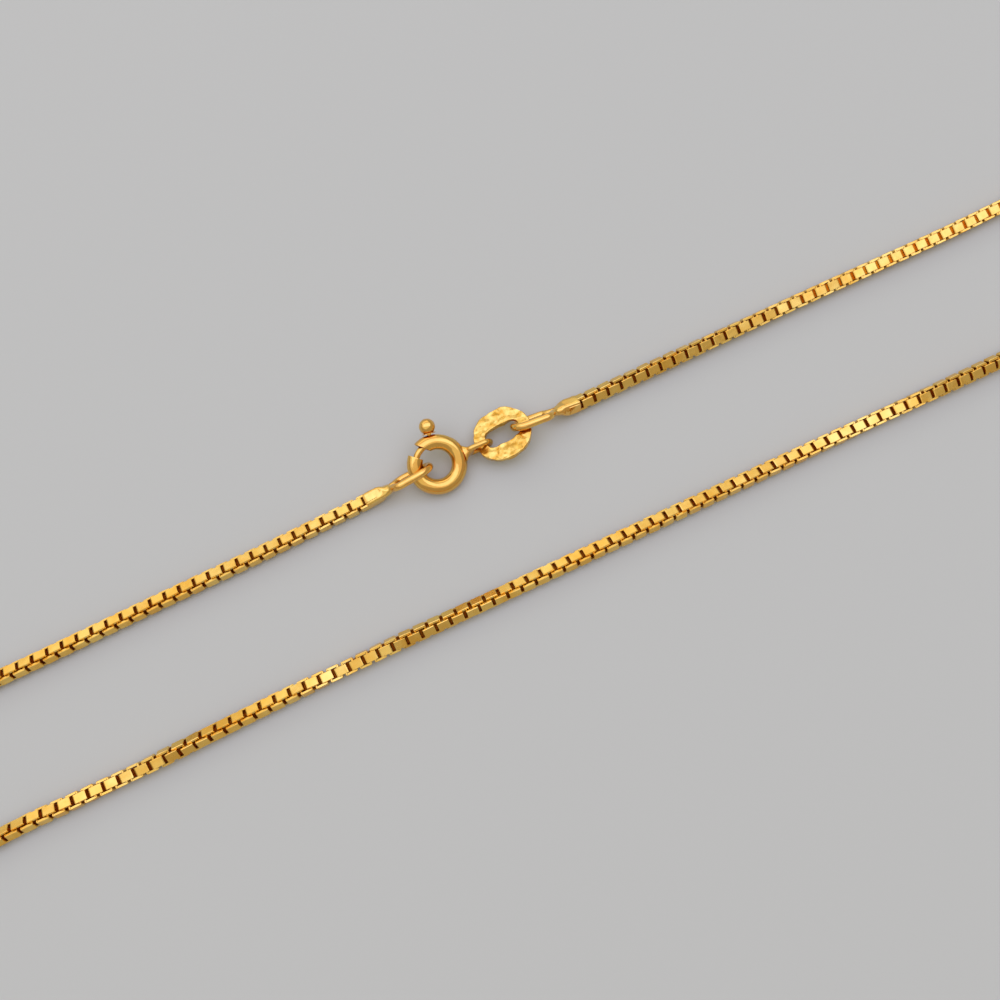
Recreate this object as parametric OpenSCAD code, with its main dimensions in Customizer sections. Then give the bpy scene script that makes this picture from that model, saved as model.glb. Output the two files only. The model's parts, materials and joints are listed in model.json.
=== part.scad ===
// Box chain necklace with a spring ring clasp, lying closed on a flat surface.
// Millimetres, +Z up, +X along the two strands. The origin is under the middle of the loop, on the surface.
// The chain is drawn as the closed form that its links fill: a square bar that twists as the chain does.

/* [Chain] */
// Width across the chain's flats
chain_w = 1.35; // [1.1:0.05:1.5]
// Width of the strip that each link is bent from, seen between the notches at the chain's edges
strip_w = 0.78; // [0.6:0.02:0.9]

/* [End caps] */
// Width of the square cap that closes each end of the chain
cap_w = 1.4; // [1.2:0.05:1.6]
// Length of the cap's square part
cap_len = 1.3; // [1:0.05:1.8]
// Length of the solder that narrows from the cap to the loop
taper_len = 1.1; // [0.8:0.05:1.5]
// Width of the flat along each edge of the cap
cap_edge = 0.18; // [0.1:0.02:0.3]

/* [Oblong loops] */
// Thickness of the loops' wire
loop_wire = 0.74; // [0.6:0.02:0.76]
// Length of a loop from the tip of its solder to its outer end
loop_len = 4.85; // [4.6:0.05:5.5]
// Outer width of a loop
loop_w = 3.28; // [3.2:0.02:3.6]
// Lean of the loops from upright, towards the front strand
loop_lean = 26; // [15:1:35]

/* [Tag ring] */
// Length of the flat oval tag
tag_len = 5.7; // [5.4:0.1:6.2]
// Width of the tag
tag_w = 5; // [4.5:0.1:5.4]
// Thickness of the tag
tag_t = 0.55; // [0.4:0.05:0.65]
// Length of the tag's oblong hole
tag_hole_len = 3.5; // [3.4:0.05:3.8]
// Width of the hole
tag_hole_w = 1.85; // [1.65:0.05:2]
// Lean of the tag, with its front edge raised
tag_lean = 8; // [0:1:12]

/* [Clasp ring] */
// Outer diameter of the spring ring
clasp_d = 5.75; // [5.6:0.05:6]
// Diameter of the ring's tube
tube_d = 1.5; // [1.3:0.02:1.52]
// Wall of the tube
tube_wall = 0.15; // [0.1:0.01:0.18]
// Angle of the tube's mouth, where the bolt comes out, from the eye's side
mouth_angle = 110; // [100:0.5:112]
// Turn of the mouth's cut from square
mouth_slant = 24; // [0:1:30]
// Angle of the tube's far end, which the bolt closes on
seat_angle = 140; // [130:1:150]
// Angle of the soldered eye
eye_angle = -1; // [-4:1:4]
// Thickness of the eye's wire
eye_wire = 0.48; // [0.36:0.02:0.52]
// Height of the eye across the ring's plane
eye_h = 2.16; // [2.1:0.02:2.4]
// Reach of the eye from the outside of the ring
eye_reach = 2.9; // [2.7:0.05:3.3]

/* [Clasp bolt] */
// Thickness of the bolt's curved wire
bolt_d = 0.62; // [0.5:0.02:0.7]
// Diameter of the thumb ball
ball_d = 1.5; // [1.3:0.05:1.6]
// Distance of the ball's centre from the ring's centre
ball_reach = 3.75; // [3.7:0.05:4.2]
// Angle of the ball while the clasp is shut
ball_angle = 80; // [76:1:84]
// Thickness of the stem between ball and bolt
stem_d = 0.44; // [0.35:0.01:0.5]
// Diameter of the collar under the ball
collar_d = 1.1; // [0.8:0.05:1.2]
// Angle that the bolt reaches past the tube's far end
bolt_seat = 6; // [4:1:10]

/* [Fit] */
// Air between parts that touch lightly
play = 0.08; // [0.06:0.01:0.1]
// Air between the ends of the tag's hole and the wires that hang in them
hook_air = 0.14; // [0.08:0.01:0.2]
// Air between the surface and the lowest point of a part that the links hold up
lift = 0.02; // [0:0.01:0.05]
// Slack between the left loop's end and the clasp ring
slack = 0.2; // [0.1:0.05:0.5]

/* [Hidden] */

wire_fn = 24;
round_fn = 96;
gold = [0.93, 0.70, 0.22];
soft_gold = [0.96, 0.76, 0.30];

// The chain's way round between the caps, chosen by hand: x and y of its middle, and its roll about its run.
// It comes from the left cap and passes the left end, the front strand and the right end to the right cap.
ROUTE = [
    [-25, 6.42, 13], [-34, 6.35, 18], [-54, 6.2, 26], [-66, 7, 30], [-78, 10.6, 34], [-90, 13.6, 38],
    [-98.2, 11.4, 41], [-102.8, 4.4, 43], [-102.8, -4.4, 45], [-98.2, -11.4, 47], [-90, -13.6, 48],
    [-78, -10.8, 50], [-66, -7.6, 52], [-55, -6.8, 54], [-48, -6.8, 83], [-42, -6.8, 103], [-36, -6.7, 141],
    [-29, -6.6, 152], [-23, -6.6, 186], [-16, -6.6, 209], [-8, -6.7, 232], [2, -6.8, 246], [13, -6.9, 252],
    [24, -7, 260], [34, -7.1, 277], [43, -7.2, 298], [54, -7.3, 305], [66, -7.9, 312], [78, -10.9, 318],
    [90, -13.6, 323], [98.2, -11.4, 326], [102.8, -4.4, 329], [102.8, 4.4, 332], [98.2, 11.4, 335],
    [90, 13.6, 337], [78, 10.7, 340], [66, 7.6, 342], [53, 6.68, 345], [31, 6.74, 333]
];
steps = 2;
// Its roll at the left cap and at the right cap
start_roll = 7;
end_roll = 317;
// Middle line of the tag and the clasp, and of the chain where it enters the caps
fittings_y = 6.86;
caps_y = 6.7;
// Roll of the caps about their own length, seen from the chain
left_roll = -7;
right_roll = 33;
// Air between the chain's ends and the caps
cap_air = 0.15;

// Caps and loops
loop_half = loop_w / 2 - loop_wire / 2;
// Where a loop's two wires come out of the solder: half of the air between them, and the solder round them
leg_air = 0.02;
solder_skin = 0.03;
tip_half = loop_wire / 2 + leg_air;
bend_r = 0.95;
// How far a wire runs into the solder, and how far wires run into the thicker outer bend
root_angle = 5;
seam_skin = 0.01;
seam_angle = 2;
seam_run = 0.02;
bend_angle = acos(1 - (loop_half - tip_half) / (2 * bend_r));
bend_run = 2 * bend_r * sin(bend_angle);
tip_x = cap_len + taper_len;
full_x = tip_x + bend_run;
end_x = tip_x + loop_len;
loop_low = loop_half * cos(loop_lean) + loop_wire / 2 + lift;
left_cap_z = reach(cap_w, cap_w - 2 * cap_edge, left_roll);
right_cap_z = reach(cap_w, cap_w - 2 * cap_edge, right_roll);
// A loop climbs from its cap until its lower wire clears the surface
left_pitch = asin((loop_low - left_cap_z) / full_x);
right_pitch = asin((loop_low - right_cap_z) / full_x);

// Places along the strand, from the tag's middle outwards
clasp_r = clasp_d / 2 - tube_d / 2;
eye_half = eye_h / 2 - eye_wire / 2;
eye_end = clasp_d / 2 + eye_reach;
// How far a round end of a given radius draws back at a given height off its middle
function draw_back(radius, off) = radius - sqrt(max(radius * radius - off * off, 0));
// Height off the tag's middle at which its leaning edges meet the wires
edge_rise = 0.06;
tag_grip = tag_t / 2 + edge_rise;
clasp_x = -tag_hole_len / 2 + hook_air + draw_back(eye_half, tag_grip) + eye_wire - eye_end;
left_x = clasp_x - clasp_r + tube_d / 2 + slack + loop_wire - end_x * cos(left_pitch);
right_hook = draw_back(loop_half, tag_grip / cos(loop_lean));
right_x = tag_hole_len / 2 - hook_air - right_hook - loop_wire + end_x * cos(right_pitch);
yaw = asin((fittings_y - caps_y) / end_x);

// The clasp lies on the left loop's lower wire, on its eye and near the surface at the front
left_cross = clasp_x - clasp_r - left_x;
cross_z = left_cap_z + left_cross * tan(left_pitch);
eye_z = eye_h / 2 + lift;
clasp_pitch = asin((cross_z - eye_z) / (clasp_r + eye_end));
clasp_z = cross_z - clasp_r * sin(clasp_pitch);
front_gap = 0.12;
clasp_lean = asin((clasp_z - tube_d / 2 - front_gap) / clasp_r);
eye_twist = -20;
// The cone of solder at the eye's foot
solder_d = 1;
solder_len = 0.5;

// The tag's left end lies in the eye a little below its middle, and its right end in the right loop a little
// above its middle
eye_drop = 0.06;
loop_rise = 0.1;
band_x = (tag_len + tag_hole_len) / 4;
tag_left_z = clasp_z - (-band_x - clasp_x) * sin(clasp_pitch) - eye_drop;
tag_right_z = right_cap_z + (right_x - band_x) * tan(right_pitch) + loop_rise;
tag_z = (tag_left_z + tag_right_z) / 2;
tag_pitch = -asin((tag_right_z - tag_left_z) / (2 * band_x));
// How full the tag's oval and its hole are: 1 is an ellipse, and less is fuller
tag_round = 0.94;
hole_round = 0.6;

// Bolt
// The bolt runs this far inside the tube's middle line, and reaches this angle back from its stem
bolt_inset = 0.06;
bolt_tail = 20;
bolt_r = clasp_r - bolt_inset;
bolt_tip = seat_angle + bolt_seat;
bolt_back = ball_angle - bolt_tail;
open_angle = bolt_tip - mouth_angle;
slot_w = stem_d + 2 * play;
slot_margin = asin((stem_d / 2 + 1.5 * play) / clasp_r);
// Angle of tube past the mouth's middle that the slanted cut trims
mouth_spare = 8;
// How far a soldered piece runs into the one that it is joined to
joint_depth = 0.12;

// Chain
function spline(a, b, c, d, t) = 0.5 * (2 * b + (c - a) * t + (2 * a - 5 * b + 4 * c - d) * t * t
    + (3 * b - a - 3 * c + d) * t * t * t);
stops = [
    [left_x - cap_air, caps_y, start_roll],
    each ROUTE,
    [right_x + cap_air, caps_y, end_roll]
];
last = len(stops) - 1;
function stop(i) = i < 0 ? 2 * stops[0] - stops[1]
    : i > last ? 2 * stops[last] - stops[last - 1]
    : stops[i];
stations = [
    for (i = [0 : last - 1], k = [0 : steps - 1])
        spline(stop(i - 1), stop(i), stop(i + 1), stop(i + 2), k / steps),
    stops[last]
];
rings = len(stations);
function heading(i) = let (
        a = stations[max(i - 1, 0)],
        b = stations[min(i + 1, rings - 1)]
    ) atan2(b[1] - a[1], b[0] - a[0]);
// Corners of a square bar with its edges cut off, turned by an angle
function bar(w, flat, turn) = [
    for (q = [0 : 3], s = [-1, 1])
        let (a = 90 * q + turn)
        [w / 2 * cos(a) - s * flat / 2 * sin(a), w / 2 * sin(a) + s * flat / 2 * cos(a)]
];
function reach(w, flat, turn) = max([for (p = bar(w, flat, turn)) p[1]]);
sides = 8;
function ring_points(i) = let (
        at = stations[i],
        h = heading(i),
        z = reach(chain_w, strip_w, at[2])
    ) [
        for (p = bar(chain_w, strip_w, at[2]))
            [at[0] - p[0] * sin(h), at[1] + p[0] * cos(h), z + p[1]]
    ];
function band_faces(i) = [
    for (j = [0 : sides - 1])
        let (a = i * sides + j, b = i * sides + (j + 1) % sides)
        each [[a, a + sides, b], [b, a + sides, b + sides]]
];

module wire_arc(radius, thick, from, to) {
    rotate([0, 0, from])
        rotate_extrude(angle = to - from, $fn = round_fn)
            translate([radius, 0])
                circle(d = thick, $fn = wire_fn);
}

module wire_line(from, to, thick) {
    run = to - from;
    translate([from[0], from[1], 0])
        rotate([0, 0, atan2(run[1], run[0])])
            rotate([0, 90, 0])
                cylinder(h = norm(run), d = thick, $fn = wire_fn);
}

// One leg of an oblong loop in its own plane: an S bend out of the solder, and straight to the end bend.
// The outer bend takes in the ends of the wires beside it.
module loop_leg() {
    translate([tip_x, tip_half + bend_r, 0])
        wire_arc(bend_r, loop_wire, -90 - root_angle, bend_angle - 90 + seam_angle);
    translate([full_x, loop_half - bend_r, 0])
        wire_arc(bend_r, loop_wire + seam_skin, 90, 90 + bend_angle);
    wire_line([full_x - seam_run, loop_half], [end_x - loop_wire / 2 - loop_half, loop_half], loop_wire);
}

// Cap and loop, with the chain's end at the origin and the loop towards +X
module end_loop(roll, lean) {
    skin = 0.05;
    rotate([90, 0, 90])
        linear_extrude(cap_len)
            polygon(bar(cap_w, cap_w - 2 * cap_edge, roll));
    hull() {
        translate([cap_len - skin, 0, 0])
            rotate([90, 0, 90])
                linear_extrude(skin)
                    polygon(bar(cap_w, cap_w - 2 * cap_edge, roll));
        rotate([lean, 0, 0])
            for (s = [-1, 1])
                translate([tip_x - skin, 0, s * tip_half])
                    rotate([0, 90, 0])
                        cylinder(h = skin, d = loop_wire + 2 * solder_skin, $fn = wire_fn);
    }
    rotate([90 + lean, 0, 0]) {
        loop_leg();
        mirror([0, 1, 0])
            loop_leg();
        translate([end_x - loop_wire / 2 - loop_half, 0, 0])
            wire_arc(loop_half, loop_wire, -90, 90);
    }
}

module box_chain() {
    color(gold)
        polyhedron(
            points = [for (i = [0 : rings - 1]) each ring_points(i)],
            faces = [
                [for (j = [0 : sides - 1]) j],
                for (i = [0 : rings - 2]) each band_faces(i),
                [for (j = [sides - 1 : -1 : 0]) (rings - 1) * sides + j]
            ],
            convexity = 10
        );
}

module left_end_loop() {
    color(gold)
        translate([left_x, caps_y, left_cap_z])
            rotate([0, -left_pitch, yaw])
                end_loop(left_roll, loop_lean);
}

module right_end_loop() {
    color(gold)
        translate([right_x, caps_y, right_cap_z])
            rotate([0, -right_pitch, 180 - yaw])
                end_loop(right_roll, -loop_lean);
}

// An oval outline from a formula
module oval(length, width, roundness) {
    polygon([
        for (a = [0 : 6 : 354])
            [
                length / 2 * sign(cos(a)) * pow(abs(cos(a)), roundness),
                width / 2 * sign(sin(a)) * pow(abs(sin(a)), roundness)
            ]
    ]);
}

module tag_ring() {
    color(soft_gold)
        translate([0, fittings_y, tag_z])
            rotate([-tag_lean, tag_pitch, 0])
                translate([0, 0, -tag_t / 2])
                    linear_extrude(tag_t)
                        difference() {
                            oval(tag_len, tag_w, tag_round);
                            oval(tag_hole_len, tag_hole_w, hole_round);
                        }
}

// Puts the clasp's own plane, with the eye towards +X, where it lies
module at_clasp() {
    translate([clasp_x, fittings_y, clasp_z])
        rotate([clasp_lean, clasp_pitch, 0])
            children();
}

// The soldered eye stands across the ring's plane
module eye() {
    near = clasp_d / 2 - joint_depth + eye_wire / 2 + eye_half;
    far = eye_end - eye_wire / 2 - eye_half;
    rotate([90 + eye_twist, 0, 0]) {
        translate([near, 0, 0])
            wire_arc(eye_half, eye_wire, 90, 270);
        translate([far, 0, 0])
            wire_arc(eye_half, eye_wire, -90, 90);
        for (s = [-1, 1])
            wire_line([near, s * eye_half], [far, s * eye_half], eye_wire);
    }
    translate([clasp_d / 2 - joint_depth, 0, 0])
        rotate([0, 90, 0])
            cylinder(h = solder_len, d1 = solder_d, d2 = eye_wire, $fn = wire_fn);
}

module clasp_ring() {
    far = 360 + mouth_angle + mouth_spare;
    color(gold)
        at_clasp() {
            difference() {
                wire_arc(clasp_r, tube_d, seat_angle, far);
                wire_arc(clasp_r, tube_d - 2 * tube_wall, seat_angle - 1, far + 1);
                rotate([0, 0, ball_angle - open_angle - slot_margin])
                    rotate_extrude(angle = open_angle + 2 * slot_margin, $fn = round_fn)
                        translate([clasp_r, -slot_w / 2])
                            square([tube_d, slot_w]);
                rotate([0, 0, mouth_angle])
                    translate([clasp_r, 0, 0])
                        rotate([0, 0, mouth_slant])
                            translate([-tube_d, 0, -tube_d])
                                cube([2 * tube_d, tube_d / 2, 2 * tube_d]);
            }
            rotate([0, 0, eye_angle])
                eye();
        }
}

module clasp_bolt() {
    collar_from = clasp_d / 2 + play;
    ball_from = ball_reach - ball_d / 2;
    color(soft_gold)
        at_clasp() {
            wire_arc(bolt_r, bolt_d, bolt_back, bolt_tip);
            rotate([0, 0, ball_angle]) {
                wire_line([bolt_r, 0], [ball_reach, 0], stem_d);
                translate([collar_from, 0, 0])
                    rotate([0, 90, 0])
                        cylinder(h = ball_from - collar_from + joint_depth, d1 = collar_d,
                            d2 = (collar_d + stem_d) / 2, $fn = round_fn);
                translate([ball_reach, 0, 0])
                    sphere(d = ball_d, $fn = round_fn);
            }
        }
}

box_chain();
left_end_loop();
right_end_loop();
tag_ring();
clasp_ring();
clasp_bolt();
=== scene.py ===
"""A gold box chain necklace with a spring ring clasp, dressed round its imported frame.

Shapes are modelled in millimetres, in the frame's own axes, and become metres as each piece is finished.
"""

import json
import math
import random

import bmesh
import bpy
from bpy.props import FloatProperty, FloatVectorProperty, IntProperty, PointerProperty
from mathutils import Matrix, Vector, noise


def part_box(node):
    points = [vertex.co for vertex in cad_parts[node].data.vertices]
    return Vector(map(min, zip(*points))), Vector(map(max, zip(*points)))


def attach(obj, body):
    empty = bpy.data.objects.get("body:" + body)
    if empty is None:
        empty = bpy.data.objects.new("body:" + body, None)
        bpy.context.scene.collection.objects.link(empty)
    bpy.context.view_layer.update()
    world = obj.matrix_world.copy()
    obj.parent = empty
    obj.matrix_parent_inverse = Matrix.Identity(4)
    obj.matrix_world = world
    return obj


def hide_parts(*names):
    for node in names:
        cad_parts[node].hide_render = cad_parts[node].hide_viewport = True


bl_info = {
    "name": "Box Chain Necklace",
    "version": (1, 0, 0),
    "blender": (4, 5, 0),
    "location": "View3D > Sidebar > Necklace",
    "description": "Builds a gold box chain necklace, its fittings, its clasp and its stage",
    "category": "Add Mesh",
}

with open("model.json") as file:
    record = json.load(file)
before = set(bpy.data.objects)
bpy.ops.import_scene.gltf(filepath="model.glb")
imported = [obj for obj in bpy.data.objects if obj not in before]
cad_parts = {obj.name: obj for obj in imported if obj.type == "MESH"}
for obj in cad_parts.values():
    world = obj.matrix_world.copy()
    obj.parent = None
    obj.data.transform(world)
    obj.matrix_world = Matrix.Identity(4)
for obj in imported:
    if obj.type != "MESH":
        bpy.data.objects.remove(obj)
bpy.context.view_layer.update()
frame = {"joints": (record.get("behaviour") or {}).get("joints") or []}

TO_METRES = 0.001
UP = Vector((0, 0, 1))

# The chain's way round: x and y of its middle in metres, and its roll about its run in degrees.
# It comes from the left cap and passes the left end, the front strand and the right end to the right cap.
ROUTE = [
    (-0.025, 0.00642, 13), (-0.034, 0.00635, 18), (-0.054, 0.0062, 26), (-0.066, 0.007, 30), (-0.078, 0.0106, 34),
    (-0.090, 0.01357, 38), (-0.0982, 0.0114, 41), (-0.1028, 0.0044, 43), (-0.1028, -0.0044, 45),
    (-0.0982, -0.0114, 47), (-0.090, -0.01357, 48), (-0.078, -0.0108, 50), (-0.066, -0.0076, 52),
    (-0.055, -0.0068, 54), (-0.048, -0.0068, 83), (-0.042, -0.0068, 103), (-0.036, -0.0067, 141),
    (-0.029, -0.0066, 152), (-0.023, -0.0066, 186), (-0.016, -0.0066, 209), (-0.008, -0.0067, 232),
    (0.002, -0.0068, 246), (0.013, -0.0069, 252), (0.024, -0.007, 260), (0.034, -0.0071, 277),
    (0.043, -0.0072, 298), (0.054, -0.0073, 305), (0.066, -0.0079, 312), (0.078, -0.0109, 318),
    (0.090, -0.01357, 323), (0.0982, -0.0114, 326), (0.10279, -0.0044, 329), (0.10279, 0.0044, 332),
    (0.0982, 0.0114, 335), (0.090, 0.01357, 337), (0.078, 0.0107, 340), (0.066, 0.0076, 342),
    (0.053, 0.00668, 347), (0.031, 0.00674, 340),
]
START_ROLL = 7
END_ROLL = 317


class NecklaceSizes(bpy.types.PropertyGroup):
    """Sizes of the chain, its fittings and its clasp."""

    chain_width: FloatProperty(
        name="Chain width", description="Width across the flats of the links", default=0.00135, unit="LENGTH"
    )
    strip_width: FloatProperty(
        name="Strip width", description="Width of the strip a link is bent from", default=0.00082, unit="LENGTH"
    )
    strip_thickness: FloatProperty(
        name="Strip thickness", description="Thickness of the strip", default=0.00021, unit="LENGTH"
    )
    link_length: FloatProperty(
        name="Link length", description="Length of a link along the chain", default=0.00118, unit="LENGTH"
    )
    link_pitch: FloatProperty(
        name="Link pitch", description="Distance from one link to the next", default=0.000715, unit="LENGTH"
    )
    link_corner: FloatProperty(
        name="Link corner", description="Radius of a link's bends", default=0.00012, unit="LENGTH"
    )
    link_edge: FloatProperty(
        name="Link edge", description="Wear along the edges of a link", default=0.00004, unit="LENGTH"
    )
    looseness: FloatProperty(
        name="Looseness", description="Play of each link in its neighbours", default=math.radians(1.7),
        subtype="ANGLE"
    )
    seed: IntProperty(name="Seed", description="Start of the random play and dents", default=7)
    cap_width: FloatProperty(
        name="Cap width", description="Width of the square end caps", default=0.0014, unit="LENGTH"
    )
    cap_length: FloatProperty(
        name="Cap length", description="Way from a cap's start to its taper", default=0.0013, unit="LENGTH"
    )
    taper_length: FloatProperty(
        name="Taper length", description="Way from there to where the wires part", default=0.0011, unit="LENGTH"
    )
    loop_wire: FloatProperty(
        name="Loop wire", description="Thickness of the oblong loops' wire", default=0.00074, unit="LENGTH"
    )
    loop_length: FloatProperty(
        name="Loop length", description="Length of a loop from its solder", default=0.00485, unit="LENGTH"
    )
    loop_width: FloatProperty(
        name="Loop width", description="Outer width of a loop", default=0.00328, unit="LENGTH"
    )
    tag_length: FloatProperty(
        name="Tag length", description="Length of the oval tag", default=0.00562, unit="LENGTH"
    )
    tag_width: FloatProperty(
        name="Tag width", description="Width of the oval tag", default=0.00508, unit="LENGTH"
    )
    tag_thickness: FloatProperty(
        name="Tag thickness", description="Thickness of the tag", default=0.00055, unit="LENGTH"
    )
    hole_length: FloatProperty(
        name="Hole length", description="Length of the tag's oblong hole", default=0.0035, unit="LENGTH"
    )
    hole_width: FloatProperty(
        name="Hole width", description="Width of the tag's oblong hole", default=0.00185, unit="LENGTH"
    )
    ring_diameter: FloatProperty(
        name="Ring diameter", description="Outer diameter of the spring ring", default=0.00575, unit="LENGTH"
    )
    tube_diameter: FloatProperty(
        name="Tube diameter", description="Thickness of the ring's tube", default=0.0015, unit="LENGTH"
    )
    tube_wall: FloatProperty(
        name="Tube wall", description="Wall of the ring's tube", default=0.00015, unit="LENGTH"
    )
    eye_wire: FloatProperty(
        name="Eye wire", description="Thickness of the soldered eye's wire", default=0.00054, unit="LENGTH"
    )
    eye_height: FloatProperty(
        name="Eye height", description="Height of the eye across the ring", default=0.0022, unit="LENGTH"
    )
    eye_reach: FloatProperty(
        name="Eye reach", description="Reach of the eye from the ring", default=0.0029, unit="LENGTH"
    )
    bolt_diameter: FloatProperty(
        name="Bolt diameter", description="Thickness of the bolt's curved wire", default=0.00062, unit="LENGTH"
    )
    ball_diameter: FloatProperty(
        name="Ball diameter", description="Diameter of the thumb ball", default=0.00152, unit="LENGTH"
    )
    ball_reach: FloatProperty(
        name="Ball reach", description="Distance of the ball from the ring's middle", default=0.003645, unit="LENGTH"
    )
    stem_diameter: FloatProperty(
        name="Stem diameter", description="Thickness of the stem under the ball", default=0.00038, unit="LENGTH"
    )
    collar_diameter: FloatProperty(
        name="Collar diameter", description="Diameter of the collar under the ball", default=0.0013, unit="LENGTH"
    )


class NecklaceFinish(bpy.types.PropertyGroup):
    """Colours of the gold and the floor."""

    bright_gold: FloatVectorProperty(
        name="Bright gold", description="Polished yellow gold", default=(0.93, 0.64, 0.172), subtype="COLOR"
    )
    deep_gold: FloatVectorProperty(
        name="Deep gold", description="Gold where it is handled and worn", default=(0.88, 0.50, 0.085),
        subtype="COLOR"
    )
    solder_gold: FloatVectorProperty(
        name="Solder gold", description="Redder gold at the soldered places", default=(0.90, 0.50, 0.13),
        subtype="COLOR"
    )
    worn_gold: FloatVectorProperty(
        name="Worn gold", description="Dull patches of the tag's face", default=(0.66, 0.345, 0.045), subtype="COLOR"
    )
    # Painted shade: the brown colour painted into gaps, recesses and inner faces
    gap_shade: FloatVectorProperty(
        name="Gap shade", description="Brown film in the gaps", default=(0.62, 0.27, 0.02), subtype="COLOR"
    )
    floor: FloatVectorProperty(
        name="Floor", description="Plain pale grey floor", default=(0.515, 0.53, 0.473), subtype="COLOR"
    )


def mm(length):
    """A length in metres, in the millimetres that shapes are modelled in."""
    return length / TO_METRES


def sizes():
    return bpy.context.scene.necklace_sizes


def finish():
    return bpy.context.scene.necklace_finish


def verts_of(result):
    return [item for item in result if isinstance(item, bmesh.types.BMVert)]


def edges_of(result):
    return [item for item in result if isinstance(item, bmesh.types.BMEdge)]


def finish_piece(bm, name, material, body, node, sharp=35):
    """Bring a shape from millimetres to metres and make it the piece that stands for a node."""
    bmesh.ops.scale(bm, vec=(TO_METRES,) * 3, verts=bm.verts)
    mesh = bpy.data.meshes.new(name)
    bm.to_mesh(mesh)
    bm.free()
    mesh.shade_smooth()
    mesh.set_sharp_from_angle(angle=math.radians(sharp))
    mesh.materials.append(material)
    piece = bpy.data.objects.new(name, mesh)
    bpy.context.scene.collection.objects.link(piece)
    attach(piece, body)
    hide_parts(node)


# Gold


# Painted shade: the face layer that marks faces for it, and how far ambient occlusion looks for near surfaces
SHADE_LAYER = "inside"
SHADE_REACH = 0.9
POLISH_FINENESS = 2.5
SCRATCH_DEPTH = 0.0006
# The colour sockets of a Mix node
MIX_A, MIX_B, MIX_RESULT = 6, 7, 2


def gold(name, first, second, patch, dent, rough, grain, clear):
    """Worn polished gold: two tones in soft patches, shallow dents, hairline scratches and painted brown shade in
    the gaps.

    patch and dent are sizes in millimetres, rough the least and greatest roughness, grain the dents' depth,
    and clear the share of open air, from ambient occlusion, above which no shade is painted; above 1 some of it
    stays everywhere. Faces marked as inside get more painted shade and are duller."""
    material = bpy.data.materials.new(name)
    material.use_nodes = True
    nodes, links = material.node_tree.nodes, material.node_tree.links
    nodes.clear()

    def add(kind, **values):
        node = nodes.new(kind)
        for key, value in values.items():
            if hasattr(node, key):
                setattr(node, key, value)
            else:
                node.inputs[key.replace("_", " ")].default_value = value
        return node

    out = add("ShaderNodeOutputMaterial")
    metal = add("ShaderNodeBsdfPrincipled", Metallic=1.0)
    place = add("ShaderNodeTexCoord")
    scaled = add("ShaderNodeMapping", Scale=(1 / TO_METRES,) * 3)
    links.new(place.outputs["Object"], scaled.inputs["Vector"])

    patches = add("ShaderNodeTexNoise", Scale=1 / patch, Detail=3.0, Roughness=0.6)
    links.new(scaled.outputs["Vector"], patches.inputs["Vector"])
    shade = add("ShaderNodeMapRange", From_Min=0.35, From_Max=0.65)
    links.new(patches.outputs["Fac"], shade.inputs["Value"])
    colours = add("ShaderNodeMix", data_type="RGBA")
    colours.inputs[MIX_A].default_value = (*first, 1)
    colours.inputs[MIX_B].default_value = (*second, 1)
    links.new(shade.outputs["Result"], colours.inputs[0])

    # Painted shade: the colour turns to the brown gap shade where ambient occlusion finds near surfaces, and on
    # faces marked as inside
    gaps = add("ShaderNodeAmbientOcclusion", samples=6, Distance=SHADE_REACH * TO_METRES)
    open_air = add("ShaderNodeMapRange", From_Min=0.0, From_Max=clear)
    links.new(gaps.outputs["AO"], open_air.inputs["Value"])
    painted_shade = add("ShaderNodeMix", data_type="RGBA")
    painted_shade.inputs[MIX_A].default_value = (*finish().gap_shade, 1)
    inside = add("ShaderNodeAttribute", attribute_name=SHADE_LAYER)
    unshaded = add("ShaderNodeMath", operation="SUBTRACT", use_clamp=True)
    links.new(open_air.outputs["Result"], unshaded.inputs[0])
    links.new(inside.outputs["Fac"], unshaded.inputs[1])
    links.new(unshaded.outputs["Value"], painted_shade.inputs[0])
    links.new(colours.outputs[MIX_RESULT], painted_shade.inputs[MIX_B])
    links.new(painted_shade.outputs[MIX_RESULT], metal.inputs["Base Color"])

    polish = add("ShaderNodeTexNoise", Scale=POLISH_FINENESS / dent, Detail=4.0, Roughness=0.65)
    links.new(scaled.outputs["Vector"], polish.inputs["Vector"])
    roughness = add("ShaderNodeMapRange", From_Min=0.3, From_Max=0.7, To_Min=rough[0], To_Max=rough[1])
    links.new(polish.outputs["Fac"], roughness.inputs["Value"])
    dull = add("ShaderNodeMath", operation="MAXIMUM")
    links.new(roughness.outputs["Result"], dull.inputs[0])
    links.new(inside.outputs["Fac"], dull.inputs[1])
    links.new(dull.outputs["Value"], metal.inputs["Roughness"])

    dents = add("ShaderNodeTexNoise", Scale=1 / dent, Detail=1.0, Roughness=0.4)
    links.new(scaled.outputs["Vector"], dents.inputs["Vector"])
    soft = add("ShaderNodeBump", Strength=1.0, Distance=grain * TO_METRES)
    links.new(dents.outputs["Fac"], soft.inputs["Height"])
    drawn = add("ShaderNodeMapping", Scale=(9.0, 60.0, 60.0), Rotation=(0.3, 0.5, 0.9))
    links.new(scaled.outputs["Vector"], drawn.inputs["Vector"])
    scratches = add("ShaderNodeTexNoise", Scale=0.6, Detail=2.0, Roughness=0.6)
    links.new(drawn.outputs["Vector"], scratches.inputs["Vector"])
    fine = add("ShaderNodeBump", Strength=1.0, Distance=SCRATCH_DEPTH * TO_METRES)
    links.new(scratches.outputs["Fac"], fine.inputs["Height"])
    links.new(soft.outputs["Normal"], fine.inputs["Normal"])
    links.new(fine.outputs["Normal"], metal.inputs["Normal"])
    links.new(metal.outputs["BSDF"], out.inputs["Surface"])
    return material


# Tubes, wires and skins


WIRE_SIDES = 20
SKIN_SIDES = 28
ROUND_STEPS = 20
MERGE_WITHIN = 1e-4


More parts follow.
